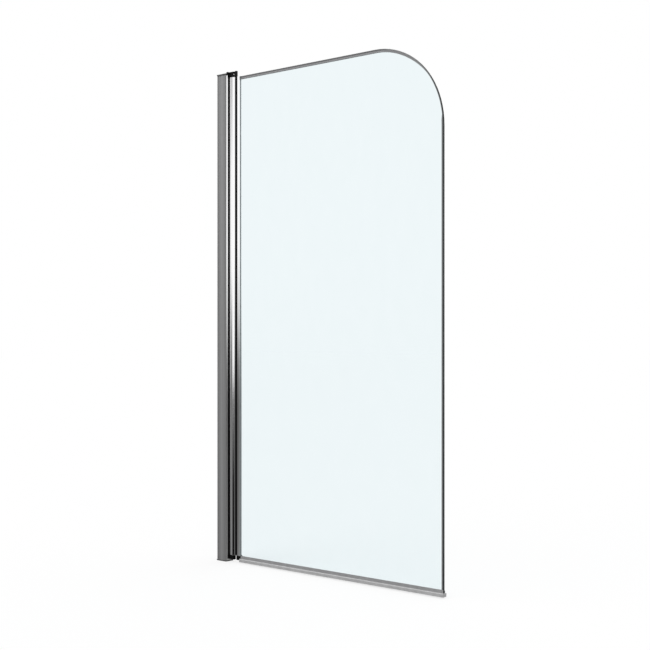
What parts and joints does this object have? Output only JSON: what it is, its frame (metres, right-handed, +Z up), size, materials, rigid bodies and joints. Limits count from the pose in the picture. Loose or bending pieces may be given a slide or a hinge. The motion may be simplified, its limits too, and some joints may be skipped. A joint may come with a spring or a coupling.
{
  "type": "bath screen",
  "caption": "Frameless pivoting bath screen: a clear glass leaf with one round top corner swings on a hinge post that slides in an aluminium wall channel.",
  "frame": {"origin": "on the wall plane at the foot of the channel, in the middle of the glass thickness", "axes": "+X away from the wall along the glass, -Y towards the room side in the picture, +Z up"},
  "size_m": [0.8022, 0.0315, 1.4037],
  "materials": {
    "satin_aluminium": "satin anodised extrusion",
    "bright_aluminium": "bright polished extrusion",
    "black_plastic": "moulded black",
    "black_rubber": "extruded black rubber",
    "stainless_steel": "turned stainless steel",
    "white_nylon": "moulded white nylon",
    "clear_glass": "clear toughened, polished edges",
    "grey_seal": "soft grey PVC",
    "pale_seal": "pale soft PVC",
    "grey_gasket": "grey glazing rubber",
    "clear_gasket": "pale translucent glazing rubber",
    "grey_plastic": "dark grey moulded plastic",
    "zinc_steel": "zinc plated steel"
  },
  "bodies": {
    "wall_side": {"wall_channel": "satin_aluminium", "channel_top_cap": "grey_plastic", "channel_bottom_cap": "grey_plastic", "fixing_screws": "stainless_steel", "clamp_plates": "zinc_steel", "fixing_screw_caps": "grey_plastic"},
    "sliding_post": {"hinge_post": "bright_aluminium", "wiper_seal": "black_rubber", "top_pivot_cap": "black_plastic", "bottom_pivot_cap": "black_plastic", "top_pivot_pin": "stainless_steel", "bottom_pivot_pin": "stainless_steel", "pin_lock_screw": "stainless_steel", "top_cap_screws": "stainless_steel", "bottom_cap_screws": "stainless_steel", "thrust_washer": "stainless_steel"},
    "glass_leaf": {"hinge_profile": "bright_aluminium", "top_pivot_bush": "white_nylon", "bottom_pivot_bush": "white_nylon", "profile_top_cap": "black_plastic", "profile_bottom_cap": "black_plastic", "front_cover_strip": "black_rubber", "rear_cover_strip": "black_rubber", "front_glazing_gasket": "grey_gasket", "rear_glazing_gasket": "clear_gasket", "setting_blocks": "white_nylon", "glass_panel": "clear_glass", "bottom_seal_carrier": "grey_seal", "bottom_seal_fins": "pale_seal", "seal_end_plug": "pale_seal"}
  },
  "joints": [
    {"name": "width_adjust", "type": "slide", "parent": "wall_side", "child": "sliding_post", "axis": [1, 0, 0], "range_m": [0, 0.015]},
    {"name": "panel_swing", "type": "hinge", "parent": "sliding_post", "child": "glass_leaf", "pos_m": [0.0543, 0, 0.02], "axis": [0, 0, 1], "range_deg": [-90, 90]}
  ]
}
